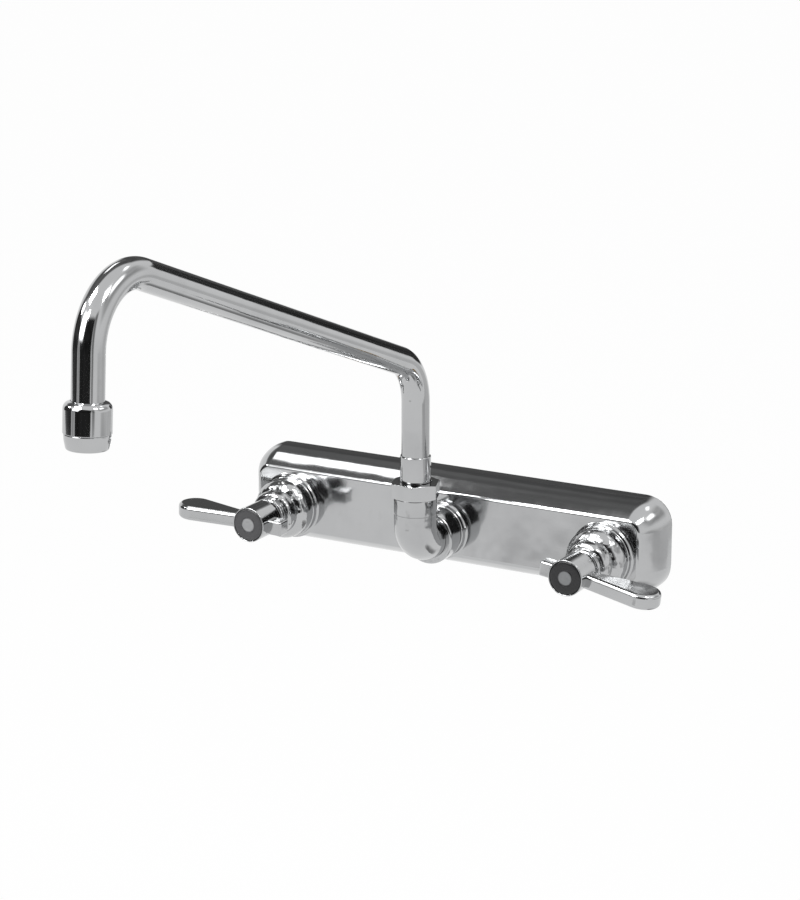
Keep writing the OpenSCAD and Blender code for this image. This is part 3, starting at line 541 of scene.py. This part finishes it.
button_r = 9.45
button_profile = [(button_r, 72.4), (button_r, 73.9), (9.2, 74.2), (8.8, 74.38), (7.5, 74.5), (5.0, 74.58),
                  (4.75, 74.4), (4.5, 74.4), (4.25, 74.6), (2.0, 74.66)]
disc_r, disc_fade_r = 3.4, 4.3
grey_ring, grey_disc = (0.06, 0.06, 0.063), (0.32, 0.325, 0.33)
black_ring, black_disc = (0.012, 0.012, 0.013), (0.2, 0.205, 0.21)
for side, x, ring_tone, disc_tone, slot in (("hot", -valve_x, grey_ring, grey_disc, "hot_button_grey"),
                                            ("cold", valve_x, black_ring, black_disc, "cold_button_black")):
    button = turned(side + "_button", button_profile, around=72)
    on_wall(button, x)
    finish, place, shader = new_finish(side + "_button_plastic", IOR=1.5, Coat_Roughness=0.08)
    centred = place.node("VectorMath", {"operation": "SUBTRACT"}, {0: place, 1: (x * mm, 0, 0)})
    flat = centred.node("VectorMath", {"operation": "MULTIPLY"}, {0: centred, 1: (1, 0, 1)})
    radius = flat.node("VectorMath", {"operation": "LENGTH"}, {0: flat}, "Value")
    middle = 1 - radius.within(disc_r * mm, disc_fade_r * mm)
    mottle = place.noise(scale=420, detail=3)
    feed(shader, "Base Color", (middle * (0.8 + mottle * 0.3)).mix(ring_tone, disc_tone))
    feed(shader, "Roughness", 0.2 + middle * 0.2 + place.noise(scale=160, detail=2) * 0.1)
    bump(shader, place.noise(scale=900, detail=2), 0.000015)
    polish(button, finish)
    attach(button, side + "_handle")
    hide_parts(side + "_index_button")


# Outlet elbow
# A cast brass elbow that carries the spout: level from the body, then straight up
# through a quarter bend. A fine turned line runs round its upright barrel.

spout_out = 58.5
elbow_r = 12.2
elbow_turn_r = 12.7
elbow_line_r = 11.96
elbow_top = 27.8
elbow_neck_r, elbow_neck_top = 10.5, 31.6
elbow_start_out = 37
bend_out = spout_out - elbow_turn_r
bpy.ops.object.select_all(action="DESELECT")
bpy.ops.mesh.primitive_circle_add(vertices=96, radius=elbow_r * mm, fill_type="NGON",
                                  location=(0, -elbow_start_out * mm, 0), rotation=(math.pi / 2, 0, 0))
elbow = begin(bpy.context.object, "elbow_barrel")
bpy.ops.mesh.extrude_region_move(
    TRANSFORM_OT_translate={"value": (0, -(bend_out - elbow_start_out) * mm, 0)})
bpy.ops.mesh.spin(steps=28, angle=math.pi / 2, center=(0, -bend_out * mm, elbow_turn_r * mm),
                  axis=(1, 0, 0))
barrel_r, barrel_top = elbow_r, elbow_turn_r
for radius, height in ((elbow_r, 18.3), (elbow_line_r, 18.45), (elbow_line_r, 18.75), (elbow_r, 18.9),
                       (elbow_r, 27.3), (12.05, 27.65), (11.6, elbow_top), (elbow_neck_r, elbow_top),
                       (elbow_neck_r, elbow_neck_top)):
    bpy.ops.mesh.extrude_region_move(TRANSFORM_OT_translate={"value": (0, 0, (height - barrel_top) * mm)})
    bpy.ops.transform.resize(value=(radius / barrel_r, radius / barrel_r, 1),
                             center_override=(0, -spout_out * mm, height * mm))
    barrel_r, barrel_top = radius, height
bpy.ops.object.mode_set(mode="OBJECT")
polish(elbow, chrome("elbow_chrome", ripple=7.0, ripple_scale=70, haze=0.11, brushed=(1, 1, 0.1), lines=0.02))
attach(elbow, "body")
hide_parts("outlet_elbow")


# Union nut
# The round brass nut that draws the elbow's flange on the body's neck. It is turned,
# with a well rounded front shoulder.

union_r, union_front, union_hole_r = 15.8, 45.0, 12.35
union_back = 32.8
union = turned("union_ring", [(14.0, union_back), (14.5, union_back), (15.4, 33.2), (union_r, 34.1)]
               + quarter(union_r, union_front, rounding=1.3, next_radius=union_hole_r, steps=7)
               + [(union_hole_r, union_front), (union_hole_r, 43.0)])
on_wall(union)
polish(union, chrome("union_chrome", ripple=3.0, ripple_scale=90, haze=0.1, lines=0.01))
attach(union, "body")
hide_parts("union_nut")


# Packing nut
# A hexagon nut on the elbow's neck that keeps the spout's swivel in, cut from bar,
# chamfered at both ends and polished.

packing_turn = math.radians(-10)
packing = hexagon("packing_hexagon", across_flats=25.4, low=27.84, high=36.8, bore_r=9.3, chamfer=0.6)
soften(packing, width=0.35)
packing.rotation_euler = (0, 0, packing_turn)
packing.location = (0, -spout_out * mm, 0)
settle(packing)
polish(packing, chrome("packing_chrome", ripple=0.1, ripple_scale=90, haze=0.05, lines=0.015))
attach(packing, "body")
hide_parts("packing_nut")


# Friction washer and aerator insert
# Natural white nylon, moulded: the washer that the swivel's spring ring turns on, and
# the insert with round holes that breaks up the water in the aerator. Both are hidden.

pale_nylon, dark_nylon = (0.82, 0.81, 0.76), (0.74, 0.72, 0.66)
nylon, place, shader = new_finish("white_nylon", IOR=1.53, Subsurface_Weight=0.1)
feed(shader, "Base Color", place.noise(scale=90, detail=3).mix(pale_nylon, dark_nylon))
feed(shader, "Roughness", 0.38 + place.noise(scale=300, detail=2) * 0.2)
bump(shader, place.noise(scale=900, detail=3), 0.00003)
dress(nylon, "friction_washer", "aerator_insert")


# Spout sleeve
# The turned sleeve of the swivel, which stands in the packing nut and holds the
# tube's foot. Its upper rim is eased.

sleeve_r, sleeve_hole_r = 8.7, 8.1
sleeve_foot, sleeve_rim = 37.1, 51.9
sleeve = turned("spout_sleeve", [(sleeve_hole_r, sleeve_foot), (sleeve_r, sleeve_foot), (sleeve_r, 51.4),
                                 (8.6, 51.7), (8.35, sleeve_rim), (sleeve_hole_r, sleeve_rim),
                                 (sleeve_hole_r, 50)])
soften(sleeve, width=0.2)
sleeve.location = (0, -spout_out * mm, 0)
settle(sleeve)
polish(sleeve, chrome("sleeve_chrome", ripple=0.1, ripple_scale=90, haze=0.05, lines=0.01))
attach(sleeve, "spout")
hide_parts("spout_swivel")


# Spout tube
# Seamless brass tube, brazed in the sleeve, bent twice on a mandrel and polished
# along its length. It rises, runs out at a slope and comes down to the outlet.

tube_r = 7.95
tube_foot, riser_top = 45, 82.6
run_slope = math.radians(20.77)
first_turn, first_turn_r = math.radians(69.23), 30.0
second_turn, second_turn_r = math.radians(106.37), 33.0
run_end = (263.6, 203.3)
leg_end = (309.9, 152.2)


def reach(along, up):
    """A point of the spout's own plane, which stands out from the wall."""
    return (0, -(spout_out + along) * mm, up * mm)


def along_line(start, end, pieces):
    """Extrudes what is selected from start to end in equal pieces."""
    step = [(b - a) / pieces for a, b in zip(reach(*start), reach(*end))]
    for _ in range(pieces):
        bpy.ops.mesh.extrude_region_move(TRANSFORM_OT_translate={"value": step})


bpy.ops.object.select_all(action="DESELECT")
bpy.ops.mesh.primitive_circle_add(vertices=72, radius=tube_r * mm, fill_type="NGON",
                                  location=reach(0, tube_foot))
tube = begin(bpy.context.object, "spout_pipe")
along_line((0, tube_foot), (0, riser_top), 2)
bpy.ops.mesh.spin(steps=28, angle=first_turn, center=reach(first_turn_r, riser_top), axis=(-1, 0, 0))
run_start = (first_turn_r - first_turn_r * math.cos(first_turn),
             riser_top + first_turn_r * math.sin(first_turn))
along_line(run_start, run_end, 6)
turn_middle = (run_end[0] + second_turn_r * math.sin(run_slope),
               run_end[1] - second_turn_r * math.cos(run_slope))
bpy.ops.mesh.spin(steps=40, angle=second_turn, center=reach(*turn_middle), axis=(-1, 0, 0))
leg_slope = second_turn - run_slope
leg_start = (run_end[0] + second_turn_r * (math.sin(run_slope) + math.sin(leg_slope)),
             run_end[1] - second_turn_r * (math.cos(run_slope) - math.cos(leg_slope)))
along_line(leg_start, leg_end, 2)
bpy.ops.object.mode_set(mode="OBJECT")
polish(tube, chrome("pipe_chrome", ripple=1.2, ripple_scale=36, haze=0.075, brushed=(1, 0.06, 0.12),
                    lines=0.02))
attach(tube, "spout")
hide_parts("spout_tube")


# Outlet collar
# A turned brass collar, brazed on the tube's end, with a rounded shoulder and a
# straight skirt. It is left bare.

leg_corner = (304.8, 218.9)
leg_lean = math.atan2(0.0767, 0.997)


def on_leg(piece):
    """From bench to outlet: the bench's up points down the leg, from where its axis starts."""
    piece.rotation_euler = (math.pi - leg_lean, 0, 0)
    piece.location = reach(*leg_corner)
    settle(piece)


collar_start, seam = 66.4, 81.5
collar_r, collar_round = 11.6, 3.7
collar_hole_r, skirt_hole_r = 8.05, 9.0
collar_shoulder = [(collar_r - collar_round + collar_round * math.cos(math.radians(angle)),
                    collar_start + collar_round + collar_round * math.sin(math.radians(angle)))
                   for angle in range(-60, 1, 6)]
collar = turned("outlet_collar_ring", [(collar_hole_r, 67.5), (collar_hole_r, collar_start),
                                       (8.35, collar_start)] + collar_shoulder
                + [(collar_r, seam - 0.35), (11.5, seam - 0.12), (11.25, seam), (skirt_hole_r, seam),
                   (skirt_hole_r, seam - 1.5)])
on_leg(collar)
polish(collar, chrome("collar_chrome", ripple=0.1, ripple_scale=90, haze=0.05, lines=0.01))
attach(collar, "spout")
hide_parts("outlet_collar")


# Aerator housing
# A turned and plated brass shell that screws in the collar. It narrows a little to
# its rounded rim, and holds the insert and the screen.

housing_rim, housing_hole_r = 89.3, 8.4
housing = turned("aerator_shell", [(10.4, seam - 0.3), (11.0, seam + 0.1), (11.2, seam + 0.3),
                                   (11.1, seam + 1.2), (10.95, seam + 3.2), (10.2, 88.2), (9.8, 89.0),
                                   (9.2, housing_rim), (housing_hole_r, housing_rim), (8.1, 86)])
soften(housing, width=0.3, angle=20)
on_leg(housing)
polish(housing, chrome("aerator_chrome", ripple=0.05, ripple_scale=90, haze=0.05, lines=0.02))
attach(housing, "spout")
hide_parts("aerator_housing")


# Backdrop and floor
# A plain pale studio: the camera, mirrors and glass see white, the light on the
# faucet comes from a softer grey, and the floor of matte paper lies well below it.

def seen(tree):
    """1 for rays from the camera, or by way of a mirror or glass, and 0 for other light."""
    rays = tree.nodes.new("ShaderNodeLightPath").outputs
    direct = Shade(tree, rays["Is Camera Ray"])
    mirror = Shade(tree, rays["Is Glossy Ray"])
    through = Shade(tree, rays["Is Transmission Ray"])
    return direct.math("MAXIMUM", direct, direct.math("MAXIMUM", mirror, through))


white, soft_grey = (1, 1, 1), (0.55, 0.55, 0.55)
world = bpy.context.scene.world or bpy.data.worlds.new("studio_world")
bpy.context.scene.world = world
world.use_nodes = True
tree = world.node_tree
tree.nodes.clear()
looked_at = seen(tree)
backdrop = looked_at.node("Background", {}, {"Color": looked_at.mix(soft_grey, white), "Strength": 1.0})
world_end = tree.nodes.new("ShaderNodeOutputWorld")
tree.links.new(backdrop.socket, world_end.inputs["Surface"])

floor_size, floor_height = 40, -0.36
dull_paper, bright_paper = (0.8, 0.8, 0.8), (0.84, 0.84, 0.84)
bpy.ops.object.select_all(action="DESELECT")
bpy.ops.mesh.primitive_plane_add(size=floor_size, location=(0, 0, floor_height))
floor = bpy.context.object
floor.name = "studio_floor"
paper, place, shader = new_finish("floor_paper", Roughness=0.9)
tree = place.tree
feed(shader, "Base Color", place.noise(scale=3, detail=2).mix(dull_paper, bright_paper))
glow = place.node("Emission", {}, {"Color": (*white, 1), "Strength": 1.0})
shown = place.node("MixShader", {}, {0: seen(tree) * 0.97, 1: Shade(tree, shader.outputs[0]), 2: glow})
tree.links.new(shown.socket, tree.nodes["Material Output"].inputs["Surface"])
floor.data.materials.append(paper)


# Cards and flags
# White cards and dark flags on stands round the faucet, and a grey sheet of painted shade
# on the floor under it. Only mirrors see them, so they shape what the chrome shows and leave the light on
# everything else alone.

def towards(azimuth, elevation, distance):
    """A place at that many metres from the origin, in a direction in degrees."""
    a, e = math.radians(azimuth), math.radians(elevation)
    return (distance * math.sin(a) * math.cos(e), -distance * math.cos(a) * math.cos(e),
            distance * math.sin(e))


def card(name, azimuth, elevation, wide, high, tone, distance=2.2, soft=4.0, mottle=0.3, grain=3.0):
    """A card that only mirrors see: its middle's direction, its size in degrees, its tone.
    Its border fades out over soft degrees, and its tone is uneven by the share mottle."""
    bpy.ops.object.select_all(action="DESELECT")
    bpy.ops.mesh.primitive_plane_add(size=1)
    piece = bpy.context.object
    piece.name = name
    piece.scale = (2 * distance * math.tan(math.radians(wide / 2)),
                   2 * distance * math.tan(math.radians(high / 2)), 1)
    piece.rotation_euler = (math.radians(90 - elevation), 0, math.radians(azimuth))
    piece.location = towards(azimuth, elevation, distance)
    paint, place, shader = new_finish(name + "_paint", Roughness=1.0, Specular_IOR_Level=0.0,
                                      Base_Color=(0, 0, 0, 1), Emission_Strength=tone)
    tree = place.tree
    patches = place.noise(scale=grain, detail=2).within(0.3, 0.7)
    feed(shader, "Emission Color", patches.mix(white, (1 - mottle, 1 - mottle, 1 - mottle)))
    inside = 1.0
    for axis, size in (("X", wide), ("Y", high)):
        across = place.node("SeparateXYZ", {}, {0: place}, axis)
        inside = (0.5 - across.math("ABSOLUTE", across)).within(0, soft / size) * inside
    clear = place.node("BsdfTransparent", {}, {})
    shown = place.node("MixShader", {}, {0: inside, 1: clear, 2: Shade(tree, shader.outputs[0])})
    tree.links.new(shown.socket, tree.nodes["Material Output"].inputs["Surface"])
    piece.data.materials.append(paint)
    piece.visible_camera = piece.visible_diffuse = piece.visible_shadow = False
    return piece


card("flag_camera_side", azimuth=10.5, elevation=14, wide=75, high=54, tone=0.03,
     distance=2.6, soft=7, mottle=0.6, grain=5)
card("card_right_grey", azimuth=54, elevation=14, wide=20, high=50, tone=0.3, distance=2.7, soft=8)
card("flag_left_front", azimuth=-64.5, elevation=10, wide=61, high=46, tone=0.08,
     distance=2.5, soft=8, mottle=0.7, grain=4)
card("strip_front", azimuth=-30.5, elevation=6, wide=14, high=40, tone=0.55, distance=2.9, soft=3)
card("flag_back_left", azimuth=-152, elevation=18, wide=38, high=36, tone=0.12, soft=7)
card("flag_overhead", azimuth=-112, elevation=52, wide=72, high=52, tone=0.2,
     distance=2.1, soft=9, mottle=0.4)
card("flag_overhead_back", azimuth=-158, elevation=43, wide=40, high=40, tone=0.15,
     distance=2.3, soft=12, mottle=0.4)
card("flag_behind", azimuth=-179, elevation=10.5, wide=44, high=29, tone=0.06,
     distance=2.4, soft=3, mottle=0.7, grain=6)
card("card_end_right", azimuth=114, elevation=32, wide=74, high=50, tone=0.66, distance=2.4, soft=18)
card("card_corner_spot", azimuth=143, elevation=60, wide=16, high=12, tone=3.5,
     distance=1.9, soft=5, mottle=0.1)
card("card_lever_end", azimuth=104, elevation=41, wide=32, high=22, tone=3.6,
     distance=2.0, soft=10, mottle=0.1)
card("card_front_high", azimuth=-21, elevation=27, wide=34, high=32, tone=11.0, distance=2.0, soft=12)
card("card_low_right", azimuth=124, elevation=-16, wide=92, high=34, tone=0.8, distance=1.2, soft=14)
card("card_floor_front", azimuth=-16, elevation=-20, wide=22, high=8, tone=0.65, distance=1.0, soft=5)
# A grey sheet on the floor just under the faucet: painted shade for the faucet's shadow there, seen only in
# mirrors.
card("painted_shade_below", azimuth=122, elevation=-62, wide=60, high=44, tone=0.32, distance=0.4, soft=18)

# This one lies nearly level above the left half, and the body's upper edge mirrors it as a band.
band = card("card_over_left_half", azimuth=-108, elevation=57, wide=11.6, high=22, tone=3.4,
            distance=1.0, soft=2.2, mottle=0.1)
band.rotation_euler = (math.radians(-12.4), 0, 0)
band.location = (-0.565, 0.167, 0.877)


# Lamps
# Four square soft boxes on stands, from above the viewer's side: two from the left,
# a small one in front and one on the right.

lamp_distance = 1.8
for name, azimuth, elevation, size, power in (("softbox_front", -35, 56, 0.5, 14),
                                             ("spot_front", -5, 40, 0.26, 4),
                                             ("spot_left", -60, 33, 0.26, 4),
                                             ("softbox_right", 70, 50, 0.4, 8)):
    lamp = bpy.data.lights.new(name, "AREA")
    lamp.shape, lamp.size, lamp.energy = "SQUARE", size, power
    holder = bpy.data.objects.new(name, lamp)
    bpy.context.scene.collection.objects.link(holder)
    holder.location = towards(azimuth, elevation, lamp_distance)
    holder.rotation_euler = (math.radians(90 - elevation), 0, math.radians(azimuth))


# Camera
# A long lens at the photograph's angle, from the right and a little above. Its place,
# turn and focal length were fitted to the faucet's known lengths in the photograph.

lens = bpy.data.cameras.new("studio_camera")
lens.lens, lens.sensor_width, lens.sensor_fit = 112.64, 36, "AUTO"
lens.clip_start, lens.clip_end = 0.05, 100
camera = bpy.data.objects.new("studio_camera", lens)
bpy.context.scene.collection.objects.link(camera)
camera.location = (0.7361, -1.3880, 0.4734)
camera.rotation_euler = (math.radians(74.6), 0, math.radians(29.3))
bpy.context.scene.camera = camera
bpy.context.scene.view_settings.view_transform = "Standard"
